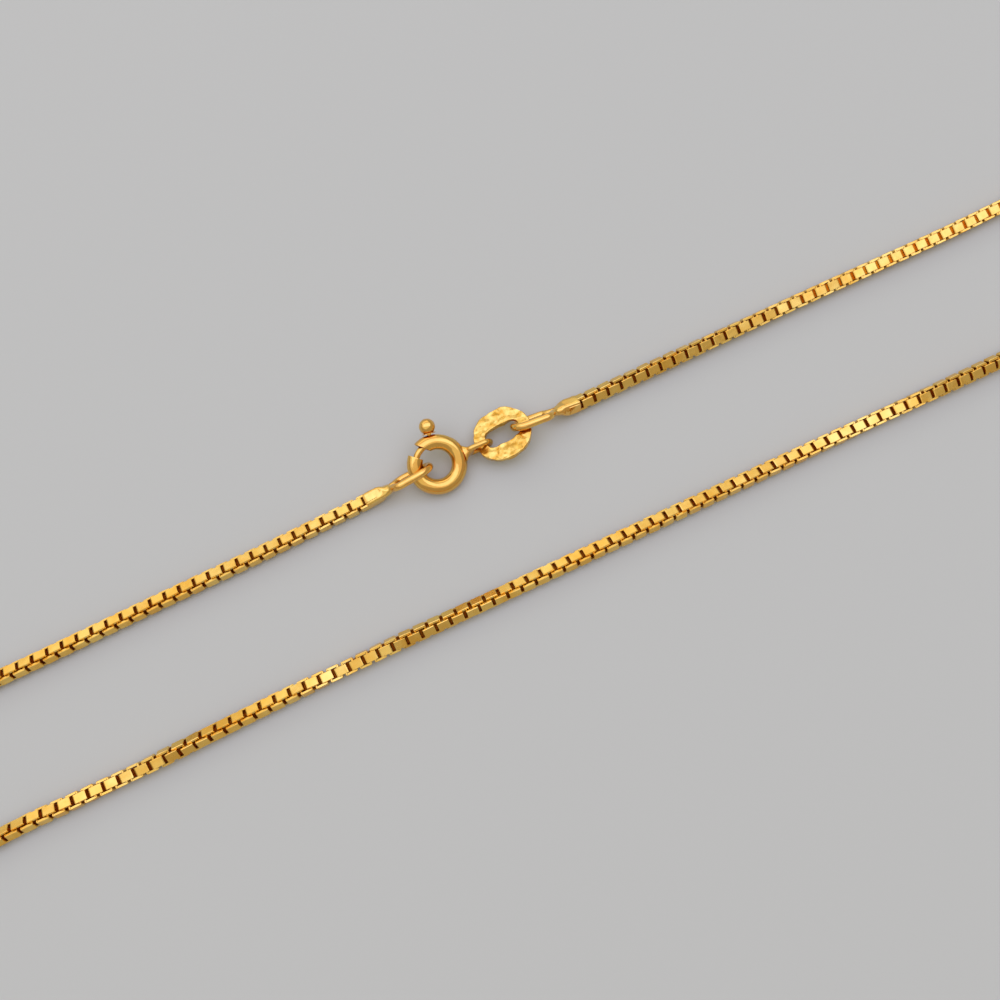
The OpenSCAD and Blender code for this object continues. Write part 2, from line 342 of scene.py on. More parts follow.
def circle_at(bm, radius, segments, matrix):
    """A ring of edges to sweep, standing across +X of the given place, in an order that is the same each run."""
    made = bmesh.ops.create_circle(
        bm, segments=segments, radius=radius, matrix=matrix @ Matrix.Rotation(math.pi / 2, 4, "Y")
    )["verts"]
    bm.edges.index_update()
    return sorted({edge for vert in made for edge in vert.link_edges}, key=lambda edge: edge.index)


def straight(bm, ring, way, steps):
    """Carry a ring of edges on by a vector, in a number of steps, and give the new end ring."""
    for _ in range(steps):
        made = bmesh.ops.extrude_edge_only(bm, edges=ring)["geom"]
        bmesh.ops.translate(bm, vec=way / steps, verts=verts_of(made))
        ring = [edge for edge in edges_of(made) if edge.is_boundary]
    return ring


def turn(bm, ring, centre, axis, angle, steps):
    """Carry a ring of edges round an arc, and give the new end ring."""
    made = bmesh.ops.spin(bm, geom=ring, cent=centre, axis=axis, angle=angle, steps=steps)["geom_last"]
    return edges_of(made)


def close_ends(bm, *rings):
    for ring in rings:
        bmesh.ops.edgeloop_fill(bm, edges=ring)


def bevel(bm, edges, offset, segments):
    bmesh.ops.bevel(
        bm, geom=edges, offset=offset, offset_type="OFFSET", affect="EDGES", segments=segments,
        profile=0.5, material=-1
    )


def sharp_edges(bm, degrees):
    """Edges whose two faces meet at more than an angle."""
    return [
        edge for edge in bm.edges if len(edge.link_faces) == 2 and edge.calc_face_angle() > math.radians(degrees)
    ]


def grow_rings(bm, sides, matrix, angle_of, count, place):
    """Extrude a ring of edges again and again, and give its first and last ring.

    angle_of numbers the first ring's vertices round, and place says where each one goes, from its ring's number
    and its own angle."""
    around = bm.verts.layers.int.new("around")
    start = ring = circle_at(bm, 1, sides, matrix)
    made = sorted({vert for edge in ring for vert in edge.verts}, key=lambda vert: angle_of(vert.co))
    for index, vert in enumerate(made):
        vert[around] = index
    for number in range(count):
        if number:
            result = bmesh.ops.extrude_edge_only(bm, edges=ring)["geom"]
            made = verts_of(result)
            ring = [edge for edge in edges_of(result) if edge.is_boundary]
        for vert in made:
            vert.co = place(number, math.tau * vert[around] / sides)
    bm.verts.layers.int.remove(around)
    return start, ring


def rounded(angle, roundness):
    """The two coordinates of a point round an outline: roundness 1 is a circle, and less is squarer."""
    wide = math.copysign(abs(math.cos(angle)) ** roundness, math.cos(angle))
    high = math.copysign(abs(math.sin(angle)) ** roundness, math.sin(angle))
    return wide, high


def skin(bm, stations, sides):
    """A closed skin through rounded stations.

    Each station is its middle, two half axes as vectors, and a roundness: 1 is an oval, and less is squarer."""

    def place(number, angle):
        middle, across, over, roundness = stations[number]
        wide, high = rounded(angle, roundness)
        return middle + across * wide + over * high

    upright = Matrix.Identity(4)
    close_ends(bm, *grow_rings(bm, sides, upright, lambda at: math.atan2(at.z, at.y), len(stations), place))


def take_in(bm, part, matrix=Matrix.Identity(4)):
    """Add a finished closed part to a shape, its faces turned outwards."""
    bmesh.ops.recalc_face_normals(part, faces=part.faces[:])
    bmesh.ops.transform(part, matrix=matrix, verts=part.verts)
    mesh = bpy.data.meshes.new("part")
    part.to_mesh(mesh)
    part.free()
    bm.from_mesh(mesh)
    bpy.data.meshes.remove(mesh)


def knead(bm, amount, size, seed):
    """Push every vertex a little along its normal, in soft lumps of a given size."""
    bm.normal_update()
    shift = Vector((seed, 2.3 * seed, -1.7 * seed))
    for vert in bm.verts:
        vert.co += vert.normal * amount * noise.noise(vert.co / size + shift)


# Links


# Least part of a face's normal across the link's run, of the strip's sides and of its worn edges, and its least
# part away from the link's middle, of the outer faces
SIDE_FACING = 0.5
EDGE_FACING = 0.3
OUTER_FACING = 0.1
# Share of painted shade on a link's inner faces, which also sets their least roughness
INNER_SHADE = 0.5
# Thickness of the dark block of painted shade inside each link
SHADE_PLUG_THICKNESS = 0.1
LINK_LIFT = 0.03
BEND_SHARE = 0.6
# The painted shade's mark on links whose gaps are painted lighter, as light falls there, and where this starts and
# over what length it grows
LIT_GAPS_MARK = -0.5
LIT_GAPS_FROM = 26
LIT_GAPS_OVER = 14


def square_link(length, width, height, thickness, corner, edge):
    """A link bent square from flat strip: its run along x, the strip's width along y, and flats up and down."""
    bm = bmesh.new()
    bmesh.ops.create_cube(bm, size=1)
    bmesh.ops.scale(bm, vec=(length, width, height), verts=bm.verts)
    bm.normal_update()
    sides = [face for face in bm.faces if abs(face.normal.y) > SIDE_FACING]
    bmesh.ops.delete(bm, geom=sides, context="FACES_ONLY")
    folds = [line for line in bm.edges if abs(line.verts[0].co.y - line.verts[1].co.y) > width / 2]
    bevel(bm, folds, corner, segments=2)
    bmesh.ops.solidify(bm, geom=bm.faces[:], thickness=thickness)
    bm.normal_update()

    def outward(face):
        middle = face.calc_center_median()
        return face.normal.dot(Vector((middle.x, 0, middle.z))) > OUTER_FACING

    rims = [
        line
        for line in bm.edges
        if sum(abs(face.normal.y) > SIDE_FACING for face in line.link_faces) == 1
        and any(abs(face.normal.y) < SIDE_FACING and outward(face) for face in line.link_faces)
    ]
    bevel(bm, rims, edge, segments=1)
    # Inner faces are marked for painted shade
    inside = bm.faces.layers.float.new(SHADE_LAYER)
    bm.normal_update()
    for face in bm.faces:
        face[inside] = 0.0 if abs(face.normal.y) > EDGE_FACING or outward(face) else INNER_SHADE
    return bm


def shade_plug(length, width, height):
    """A dark block, all painted shade, that closes the sight through a link, between its neighbours' ends."""
    bm = bmesh.new()
    bmesh.ops.create_cube(bm, size=1)
    bmesh.ops.scale(bm, vec=(length, width, height), verts=bm.verts)
    inside = bm.faces.layers.float.new(SHADE_LAYER)
    for face in bm.faces:
        face[inside] = 1.0
    return bm


def reach(width, flat, roll):
    """How far a square bar with its edges cut off reaches from its middle, when it is rolled by an angle."""
    quarters = [math.radians(roll + 90 * quarter) for quarter in range(4)]
    return max(width / 2 * math.sin(a) + flat / 2 * abs(math.cos(a)) for a in quarters)


def spline(a, b, c, d, t):
    """A point of the smooth line through four stops, between the middle two."""
    return 0.5 * (2 * b + (c - a) * t + (2 * a - 5 * b + 4 * c - d) * t * t + (3 * b - a - 3 * c + d) * t**3)


def chain_line(start, end, fineness=24):
    """Points of the chain's middle line with their roll, close together, in millimetres and degrees."""
    stops = [start, *(Vector((mm(x), mm(y), roll)) for x, y, roll in ROUTE), end]
    stops = [2 * stops[0] - stops[1], *stops, 2 * stops[-1] - stops[-2]]
    line = [
        spline(*stops[i : i + 4], step / fineness)
        for i in range(len(stops) - 3)
        for step in range(fineness)
    ]
    return [*line, stops[-2]]


def along(line, distances):
    """Places at rising distances along a line: its point, its roll, and its heading there."""
    run, index = 0.0, 0
    for distance in distances:
        while index < len(line) - 2:
            piece = (line[index + 1] - line[index]).xy.length
            if run + piece >= distance:
                break
            run += piece
            index += 1
        a, b = line[index], line[index + 1]
        step = b - a
        at = a + step * ((distance - run) / step.xy.length)
        yield at, Vector((step.x, step.y, 0)).normalized()


def lit_gaps_share(at):
    """The share of painted shade taken out of a link's gaps, painting them lighter as light falls there, on the
    clasp's strand beyond the right cap.
    """
    way = min(max((at.x - LIT_GAPS_FROM) / LIT_GAPS_OVER, 0), 1) if at.y > 0 else 0
    return way * way * (3 - 2 * way)


def fuse_links(line, size, rng):
    """All the links along a line, each turned a quarter from the last and a little loose, in one mesh."""
    width, strip = mm(size.chain_width), mm(size.strip_width)
    link = square_link(
        mm(size.link_length), strip, width, mm(size.strip_thickness), mm(size.link_corner), mm(size.link_edge)
    )
    gap = 2 * mm(size.link_pitch) - mm(size.link_length)
    # Each link holds a dark block of painted shade
    take_in(link, shade_plug(gap, SHADE_PLUG_THICKNESS, width - 2 * mm(size.strip_thickness)))
    pattern = bpy.data.meshes.new("link")
    link.to_mesh(pattern)
    link.free()
    total = sum((b - a).xy.length for a, b in zip(line, line[1:]))
    into_cap = mm(size.link_length) / 2 - (mm(size.link_length) - mm(size.link_pitch))
    run = total - 2 * into_cap
    count = round(run / mm(size.link_pitch) / 2) * 2 + 1
    distances = [into_cap + run * number / (count - 1) for number in range(count)]
    bm = bmesh.new()
    play = size.looseness
    for number, (at, ahead) in enumerate(along(line, distances)):
        side = UP.cross(ahead)
        turned = math.radians(at.z + 90 * (number % 2))
        face = side * math.cos(turned) + UP * math.sin(turned)
        strip_way = face.cross(ahead)
        middle = Vector((at.x, at.y, reach(width, strip, at.z) + LINK_LIFT))
        seat = Matrix((ahead, strip_way, face)).transposed().to_4x4()
        loose = (
            Matrix.Rotation(rng.gauss(0, play), 4, "X")
            @ Matrix.Rotation(rng.gauss(0, play * BEND_SHARE), 4, "Y")
            @ Matrix.Rotation(rng.gauss(0, play * BEND_SHARE), 4, "Z")
        )
        before, faces_before = len(bm.verts), len(bm.faces)
        bm.from_mesh(pattern)
        bm.verts.ensure_lookup_table()
        bmesh.ops.transform(bm, matrix=Matrix.Translation(middle) @ seat @ loose, verts=bm.verts[before:])
        # Painted light: this strand's gaps get less painted shade
        lit_gaps = lit_gaps_share(at)
        if lit_gaps:
            bm.faces.ensure_lookup_table()
            painted_shade = bm.faces.layers.float[SHADE_LAYER]
            for link_face in bm.faces[faces_before:]:
                link_face[painted_shade] += (LIT_GAPS_MARK - link_face[painted_shade]) * lit_gaps
    bpy.data.meshes.remove(pattern)
    return bm


# End loops


# Where both caps start across the strand, and how the loops are turned towards the clasp
CAPS_Y = 6.7
YAW = math.radians(1.26456)
CAP_EDGE = 0.18
BEND_RADIUS = 0.95
LEG_GAP = 0.02
WIRE_IN_CAP = 0.6
BEND_STEPS = 8
THIN_LEG = 0.95
END_TAPER = 0.16
PLATE_START = 0.08
PLATE_CORNER = 0.2
PLATE_PROUD = 0.03
SOLDER_OVER_WIRES = 0.09
SOLDER_BESIDE_WIRES = 0.14


class Fitting:
    """Where an end cap starts, the way its loop runs from there, and how it is turned.

    block and neck are the lengths of the cap's square part and of its solder, in millimetres."""

    def __init__(self, node, heading, roll, lean, plate_roll, block, neck):
        size = sizes()
        low, high = (corner / TO_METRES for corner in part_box(node))
        cap = mm(size.cap_width)
        self.node = node
        self.lean, self.plate_roll = lean, plate_roll
        self.block, self.neck = block, neck
        self.height = reach(cap, cap - 2 * CAP_EDGE, roll)
        wire = mm(size.loop_wire)
        half = mm(size.loop_width) / 2 - wire / 2
        tip = mm(size.cap_length) + mm(size.taper_length)
        clear = half * math.cos(math.radians(lean)) + wire / 2 + LEG_GAP
        self.bend = math.acos(1 - (half - wire / 2 - LEG_GAP) / (2 * BEND_RADIUS))
        full = tip + 2 * BEND_RADIUS * math.sin(self.bend)
        self.pitch = math.asin((clear - self.height) / full)
        drawn_in = self.height * math.sin(self.pitch)
        self.x = low.x + drawn_in if heading < math.pi / 2 else high.x - drawn_in
        self.heading = heading
        self.half, self.tip, self.full = half, tip, full
        self.wire = wire
        self.end = tip + mm(size.loop_length)

    def place(self):
        return (
            Matrix.Translation((self.x, CAPS_Y, self.height))
            @ Matrix.Rotation(self.heading, 4, "Z")
            @ Matrix.Rotation(-self.pitch, 4, "Y")
        )

    def leg_middle(self, x):
        """How far a leg's middle line lies from the loop's own, at a distance from the cap's start."""
        tip_half = self.wire / 2 + LEG_GAP
        if x <= self.tip:
            return tip_half
        if x >= self.full:
            return self.half
        near_tip = x < (self.tip + self.full) / 2
        away = x - self.tip if near_tip else self.full - x
        drop = BEND_RADIUS - math.sqrt(BEND_RADIUS**2 - away**2)
        return tip_half + drop if near_tip else self.half - drop

    def leg_share(self, x):
        """The wire's thickness there, as a share of its full one: it is drawn thinner towards the solder."""
        way = min(max((x - self.tip) / (self.full - self.tip), 0), 1)
        return THIN_LEG + (1 - THIN_LEG) * way * way * (3 - 2 * way)


def left_fitting():
    return Fitting("left_end_loop", YAW, roll=-7, lean=26, plate_roll=-7, block=1.58, neck=0.78)


def right_fitting():
    return Fitting("right_end_loop", math.pi - YAW, roll=33, lean=-26, plate_roll=-57, block=1.5, neck=0.62)


def loop_wire(fitting):
    """The oblong loop's wire in its own plane: out of the solder, an S bend, round the end and back."""
    bm = bmesh.new()
    radius, half = fitting.wire / 2, fitting.half
    tip_half = radius + LEG_GAP
    start_x = fitting.tip - WIRE_IN_CAP
    end_x = fitting.end - radius - half
    start = circle_at(bm, radius, WIRE_SIDES, Matrix.Translation((start_x, tip_half, 0)))
    ring = straight(bm, start, Vector((WIRE_IN_CAP, 0, 0)), steps=2)
    ring = turn(bm, ring, (fitting.tip, tip_half + BEND_RADIUS, 0), UP, fitting.bend, BEND_STEPS)
    ring = turn(bm, ring, (fitting.full, half - BEND_RADIUS, 0), UP, -fitting.bend, BEND_STEPS)
    ring = straight(bm, ring, Vector((end_x - fitting.full, 0, 0)), steps=4)
    ring = turn(bm, ring, (end_x, 0, 0), UP, -math.pi, ROUND_STEPS)
    ring = straight(bm, ring, Vector((fitting.full - end_x, 0, 0)), steps=4)
    ring = turn(bm, ring, (fitting.full, BEND_RADIUS - half, 0), UP, -fitting.bend, BEND_STEPS)
    ring = turn(bm, ring, (fitting.tip, -tip_half - BEND_RADIUS, 0), UP, fitting.bend, BEND_STEPS)
    ring = straight(bm, ring, Vector((-WIRE_IN_CAP, 0, 0)), steps=2)
    close_ends(bm, start, ring)
    for vert in bm.verts:
        past_middle = max((vert.co.x - fitting.full) / (fitting.end - fitting.full), 0)
        vert.co.y *= 1 - END_TAPER * past_middle**2
        share = fitting.leg_share(vert.co.x)
        middle = math.copysign(fitting.leg_middle(vert.co.x), vert.co.y)
        inwards = math.copysign(radius * (1 - share), middle)
        if vert.co.x < fitting.full:
            vert.co.y = middle - inwards + (vert.co.y - middle) * share
            vert.co.z *= share
    knead(bm, amount=0.03, size=0.9, seed=fitting.end + fitting.lean)
    return bm


def solid_cap(fitting, size):
    """The cap: the chain's last link filled with solder, squared off and drawn in onto the two wires."""
    bm = bmesh.new()
    block, end = fitting.block, fitting.block + fitting.neck
    roll, lean = math.radians(fitting.plate_roll), math.radians(fitting.lean)
    box_y = Vector((0, math.cos(roll), math.sin(roll)))
    box_z = Vector((0, -math.sin(roll), math.cos(roll)))
    wires = Vector((0, -math.sin(lean), math.cos(lean)))
    aside = Vector((0, math.cos(lean), math.sin(lean)))
    body = mm(size.cap_width) / 2 - PLATE_PROUD
    thin = fitting.leg_share(fitting.tip) * fitting.wire
    wires_high, wires_wide = thin + SOLDER_OVER_WIRES, thin / 2 + SOLDER_BESIDE_WIRES
    # Distance from the cap's start, share of the way from the body to the wires, size and roundness
    rows = [
        (0.06, 0.0, 0.9, 0.42), (0.12, 0.0, 0.99, 0.42), (block * 0.4, 0.0, 1.0, 0.42),
        (block * 0.75, 0.0, 1.0, 0.42), (block - 0.1, 0.02, 0.99, 0.44), (block + 0.08, 0.12, 0.98, 0.48),
        (block + fitting.neck * 0.3, 0.32, 1.0, 0.54), (block + fitting.neck * 0.6, 0.65, 1.0, 0.64),
        (block + fitting.neck * 0.85, 0.9, 1.0, 0.8), (end, 1.0, 1.0, 0.9),
        (end + 0.26, 1.0, 0.9, 0.9), (end + 0.4, 1.0, 0.72, 0.9),
    ]
    stations = []
    for x, share, swell, roundness in rows:
        high = (box_z.lerp(wires, share)).normalized() * (body + (wires_high - body) * share) * swell
        wide = (box_y.lerp(aside, share)).normalized() * (body + (wires_wide - body) * share) * swell
        stations.append((Vector((x, 0, 0)), wide, high, roundness))
    skin(bm, stations, SKIN_SIDES)
    bmesh.ops.subdivide_edges(bm, edges=bm.edges[:], cuts=1, use_grid_fill=True, smooth=0.3)
    knead(bm, amount=0.035, size=0.5, seed=3 * fitting.lean)
    return bm


def end_loop(fitting, size):
    """A cap with the faces of its last link, its solder and its oblong wire loop."""
    bm = bmesh.new()
    length = fitting.block - PLATE_START
    strip, thickness = mm(size.strip_width), mm(size.strip_thickness)
    plate = square_link(length, strip, mm(size.cap_width), thickness, PLATE_CORNER, mm(size.link_edge))
    way = Matrix.Rotation(math.radians(fitting.plate_roll), 4, "X")
    take_in(bm, plate, way @ Matrix.Translation((length / 2, 0, 0)))
    take_in(bm, solid_cap(fitting, size))
    take_in(bm, loop_wire(fitting), Matrix.Rotation(math.radians(90 + fitting.lean), 4, "X"))
    bmesh.ops.transform(bm, matrix=fitting.place(), verts=bm.verts)
    return bm


# Tag


TAG_PITCH = math.radians(-9.57312)
TAG_LEAN = math.radians(8)
HOLE_ROUNDNESS = 0.6
RIM_ROUNDNESS = 0.94
TAG_EDGE = 0.07
TAG_SIDES = 96
TAG_RINGS = 9


def oval(length, width, roundness, angle):
    wide, high = rounded(angle, roundness)
    return Vector((length / 2 * wide, width / 2 * high, 0))


def flat_tag(size):
    """The flat oval tag: rings of edges from its hole out to its rim, given its thickness, rounded and dented."""
    bm = bmesh.new()

    def place(number, angle):
        hole = oval(mm(size.hole_length), mm(size.hole_width), HOLE_ROUNDNESS, angle)
        rim = oval(mm(size.tag_length), mm(size.tag_width), RIM_ROUNDNESS, angle)
        return hole.lerp(rim, number / TAG_RINGS)

    flat = Matrix.Rotation(math.pi / 2, 4, "Y")
    grow_rings(bm, TAG_SIDES, flat, lambda at: math.atan2(at.y, at.x), TAG_RINGS + 1, place)
    bmesh.ops.recalc_face_normals(bm, faces=bm.faces[:])
    bm.normal_update()
    if sum(face.normal.z for face in bm.faces) < 0:
        bmesh.ops.reverse_faces(bm, faces=bm.faces[:])
    thickness = mm(size.tag_thickness)
    bmesh.ops.translate(bm, vec=(0, 0, thickness / 2), verts=bm.verts)
    bmesh.ops.solidify(bm, geom=bm.faces[:], thickness=thickness)
    bm.normal_update()
    bevel(bm, sharp_edges(bm, 60), TAG_EDGE, segments=3)
    knead(bm, amount=0.16, size=1.0, seed=4)
    knead(bm, amount=0.07, size=0.42, seed=9)
    return bm


# Clasp


# Angles round the ring start at the eye, and lengths are in millimetres
MOUTH_ANGLE = math.radians(110)
MOUTH_SLANT = math.radians(24)
SEAT_ANGLE = math.radians(140)
BALL_ANGLE = math.radians(82.5)
EYE_ANGLE = math.radians(-1)
EYE_TWIST = math.radians(-20)
BOLT_SEAT = math.radians(6)
BOLT_TAIL = math.radians(20)
SPARE_TUBE = math.radians(22)
CUT_SHORT_OF_SEAT = math.radians(8)
CUT_FROM = math.radians(60)
SLOT_PLAY = 0.08
SLOT_END_PLAY = 0.12
EYE_SUNK = 0.12
BOLT_DROP = 0.06
NECK_SHARE = 0.6
TUBE_SIDES = 32
TUBE_STEPS = 124
LIP_EDGE = 0.03
BOLT_SIDES = 24
BOLT_STEPS = 30
BOLT_ROUNDING = 0.7
COLLAR_LIFT = 0.08
COLLAR_EDGE = 0.03
COLLAR_HEIGHT = 0.08
NECK_FLARE = 0.08
FLARE_RISE = 0.05
BALL_STEPS = 18
BALL_SIDES = 40
OPEN_ANGLE = SEAT_ANGLE + BOLT_SEAT - MOUTH_ANGLE


def clasp_place():
    """The clasp's own plane, from its joint: +X to the eye, +Z across the ring."""
    joint = frame["joints"][0]
    across = -Vector(joint["axis"]).normalized()
    eye_way = Vector((across.z, 0, -across.x)).normalized()
    sideways = across.cross(eye_way)
    turned = Matrix((eye_way, sideways, across)).transposed().to_4x4()
    return Matrix.Translation(Vector(joint["pos_m"]) / TO_METRES) @ turned


def polar(radius, angle):
    return Vector((radius * math.cos(angle), radius * math.sin(angle), 0))


def bent_tube(size):
    """The ring's hollow tube from its seat round to its slanted mouth, with the trigger's slot in its outside."""
    bm = bmesh.new()
    radius = mm(size.tube_diameter) / 2
    middle_r = mm(size.ring_diameter) / 2 - radius
    sweep = math.tau + MOUTH_ANGLE - SEAT_ANGLE + SPARE_TUBE
    at = polar(middle_r, SEAT_ANGLE)
    ring = circle_at(
        bm, radius, TUBE_SIDES, Matrix.Translation(at) @ Matrix.Rotation(SEAT_ANGLE + math.pi / 2, 4, "Z")
    )
    turn(bm, ring, (0, 0, 0), UP, sweep, TUBE_STEPS)

    cut = MOUTH_ANGLE + MOUTH_SLANT
    beyond = Vector((-math.sin(cut), math.cos(cut), 0))

    def near_mouth(face):
        point = face.calc_center_median()
        return CUT_FROM < math.atan2(point.y, point.x) < SEAT_ANGLE - CUT_SHORT_OF_SEAT

    faces = [face for face in bm.faces if near_mouth(face)]
    parts = dict.fromkeys(faces)
    for face in faces:
        parts.update(dict.fromkeys([*face.edges, *face.verts]))
    bmesh.ops.bisect_plane(
        bm, geom=list(parts), plane_co=polar(middle_r, MOUTH_ANGLE), plane_no=beyond, clear_outer=True, dist=1e-5
    )

    slot_half = mm(size.stem_diameter) / 2 + SLOT_PLAY
    margin = math.asin((mm(size.stem_diameter) / 2 + SLOT_END_PLAY) / middle_r)

    def in_slot(face):
        point = face.calc_center_median()
        angle = math.atan2(point.y, point.x)
        outside = point.xy.length > middle_r
        return (
            outside
            and abs(point.z) < slot_half
            and BALL_ANGLE - OPEN_ANGLE - margin < angle < BALL_ANGLE + margin
        )

    bmesh.ops.delete(bm, geom=[face for face in bm.faces if in_slot(face)], context="FACES")
    bm.normal_update()
    out = 0
    for face in bm.faces:
        point = face.calc_center_median()
        out += face.normal.dot(point - polar(middle_r, math.atan2(point.y, point.x)))
    if out < 0:
        bmesh.ops.reverse_faces(bm, faces=bm.faces[:])
    bm.normal_update()
    bmesh.ops.solidify(bm, geom=bm.faces[:], thickness=mm(size.tube_wall))
    bm.normal_update()
    bevel(bm, sharp_edges(bm, 55), LIP_EDGE, segments=2)
    # Faces inside the tube's bore are marked for full painted shade, and are rougher
    inside = bm.faces.layers.float.new(SHADE_LAYER)
    bm.normal_update()
    for face in bm.faces:
        point = face.calc_center_median()
        from_bore = point - polar(middle_r, math.atan2(point.y, point.x))
        in_bore = from_bore.length < radius - mm(size.tube_wall) / 2 and face.normal.dot(from_bore) < 0
        face[inside] = 1.0 if in_bore else 0.0
    knead(bm, amount=0.025, size=1.6, seed=2)
    return bm


def soldered_eye(size):
    """The wire eye that stands across the ring."""
    bm = bmesh.new()
    radius = mm(size.eye_wire) / 2
    half = mm(size.eye_height) / 2 - radius
    near = mm(size.ring_diameter) / 2 - EYE_SUNK + radius + half
    far = mm(size.ring_diameter) / 2 + mm(size.eye_reach) - radius - half
    ring = circle_at(bm, radius, WIRE_SIDES, Matrix.Translation((near, half, 0)))
    ring = straight(bm, ring, Vector((far - near, 0, 0)), steps=3)
    ring = turn(bm, ring, (far, 0, 0), UP, -math.pi, ROUND_STEPS)
    ring = straight(bm, ring, Vector((near - far, 0, 0)), steps=3)
    turn(bm, ring, (near, 0, 0), UP, -math.pi, ROUND_STEPS)
    bmesh.ops.remove_doubles(bm, verts=bm.verts, dist=MERGE_WITHIN)
    knead(bm, amount=0.025, size=0.7, seed=6)
    return bm


def eye_solder(size):
    """The lump of solder that flares from the ring onto the eye's two legs."""
    bm = bmesh.new()
    foot = mm(size.ring_diameter) / 2
    # Distance from the ring's middle, half width, half height and roundness
    rows = [
        (foot - 0.22, 0.85, 0.6, 0.9),
        (foot - 0.04, 0.72, 0.62, 0.85),
        (foot + 0.12, 0.54, 0.68, 0.8),
        (foot + 0.3, 0.42, 0.78, 0.75),
        (foot + 0.52, 0.33, 0.88, 0.7),
        (foot + 0.78, 0.25, 0.9, 0.8),
    ]
    stations = [(Vector((x, 0, 0)), Vector((0, wide, 0)), Vector((0, 0, high)), r) for x, wide, high, r in rows]
    skin(bm, stations, SKIN_SIDES)
    bmesh.ops.subdivide_edges(bm, edges=bm.edges[:], cuts=1, use_grid_fill=True, smooth=0.6)
    knead(bm, amount=0.04, size=0.4, seed=5)
    return bm


def rounded_wire(size):
    """The bolt's curved wire with rounded ends."""
    bm = bmesh.new()
    radius = mm(size.bolt_diameter) / 2
    middle_r = mm(size.ring_diameter) / 2 - mm(size.tube_diameter) / 2 - BOLT_DROP
    first = BALL_ANGLE - BOLT_TAIL
    last = SEAT_ANGLE + BOLT_SEAT
    at = polar(middle_r, first)
    start = circle_at(
        bm, radius, BOLT_SIDES, Matrix.Translation(at) @ Matrix.Rotation(first + math.pi / 2, 4, "Z")
    )
    end = turn(bm, start, (0, 0, 0), UP, last - first, BOLT_STEPS)
    close_ends(bm, start, end)
    bevel(bm, [*start, *end], radius * BOLT_ROUNDING, segments=5)
    return bm


def thumb_ball(size):
    """Stem, flared collar and ball, turned about the ball's own line."""
    bm = bmesh.new()
    ball, reach_out = mm(size.ball_diameter) / 2, mm(size.ball_reach)
    stem, collar = mm(size.stem_diameter) / 2, mm(size.collar_diameter) / 2
    foot = mm(size.ring_diameter) / 2 + COLLAR_LIFT
    root = mm(size.ring_diameter) / 2 - mm(size.tube_diameter) / 2
    neck = ball * NECK_SHARE
    neck_angle = math.asin(neck / ball)
    neck_at = reach_out - ball * math.cos(neck_angle)
    profile = [
        (0.0, root), (stem, root), (stem, foot), (collar - COLLAR_EDGE, foot), (collar, foot + COLLAR_EDGE),
        (collar - COLLAR_EDGE, foot + COLLAR_HEIGHT), (neck + NECK_FLARE, (foot + neck_at) / 2 + FLARE_RISE),
        (neck, neck_at),
    ]
    for step in range(1, BALL_STEPS + 1):
        angle = neck_angle + (math.pi - neck_angle) * step / BALL_STEPS
        profile.append((ball * math.sin(angle), reach_out - ball * math.cos(angle)))
    points = [bm.verts.new((out, side, 0)) for side, out in profile]
    line = [bm.edges.new(pair) for pair in zip(points, points[1:])]
    bmesh.ops.spin(
        bm, geom=[*points, *line], cent=(0, 0, 0), axis=(1, 0, 0), angle=math.tau, steps=BALL_SIDES, use_merge=True
    )
    bmesh.ops.remove_doubles(bm, verts=bm.verts, dist=MERGE_WITHIN)
    return bm


# Stage


FLOOR_SIZE = 6.0
CAMERA_AT = (-0.01214, -0.01765, 0.0923)
CAMERA_TILT = math.radians(13)
STRAND_ANGLE = math.radians(25.78)


def softbox(name, at, width, height, watts, colour):
    """A soft rectangular lamp that faces the middle of the necklace."""
    light = bpy.data.lights.new(name, "AREA")
    light.color = colour
    light.shape = "RECTANGLE"
    light.size, light.size_y = width, height
    light.energy = watts
    lamp = bpy.data.objects.new(name, light)
    lamp.location = at
    lamp.rotation_euler = Vector(at).to_track_quat("Z", "Y").to_euler()
    bpy.context.scene.collection.objects.link(lamp)


class NECKLACE_OT_box_links(bpy.types.Operator):
    """Lay the whole box chain, link by link, in one mesh"""

    bl_idname = "necklace.box_links"
    bl_label = "Box Links"

    def execute(self, context):
        size, colour = sizes(), finish()
        left, right = left_fitting(), right_fitting()
        start = Vector((left.x, CAPS_Y, START_ROLL))
        end = Vector((right.x, CAPS_Y, END_ROLL))
        line = chain_line(start, end)
        bm = fuse_links(line, size, random.Random(size.seed))
        surface = gold(
            "chain_gold", colour.bright_gold, colour.deep_gold,
            patch=2.6, dent=0.9, rough=(0.18, 0.3), grain=0.02, clear=0.5
        )
        finish_piece(bm, "box_links", surface, "necklace", "box_chain", sharp=20)
        return {"FINISHED"}


class NECKLACE_OT_end_loops(bpy.types.Operator):
    """Make both end caps with their solder and oblong loops"""

    bl_idname = "necklace.end_loops"
    bl_label = "End Loops"

    def execute(self, context):
        size, colour = sizes(), finish()
        surface = gold(
            "loop_gold", colour.bright_gold, colour.solder_gold,
            patch=1.3, dent=0.9, rough=(0.09, 0.18), grain=0.04, clear=1.05
        )
        for name, fitting in (("left_loop", left_fitting()), ("right_loop", right_fitting())):
            bm = end_loop(fitting, size)
            finish_piece(bm, name, surface, "necklace", fitting.node)
        return {"FINISHED"}


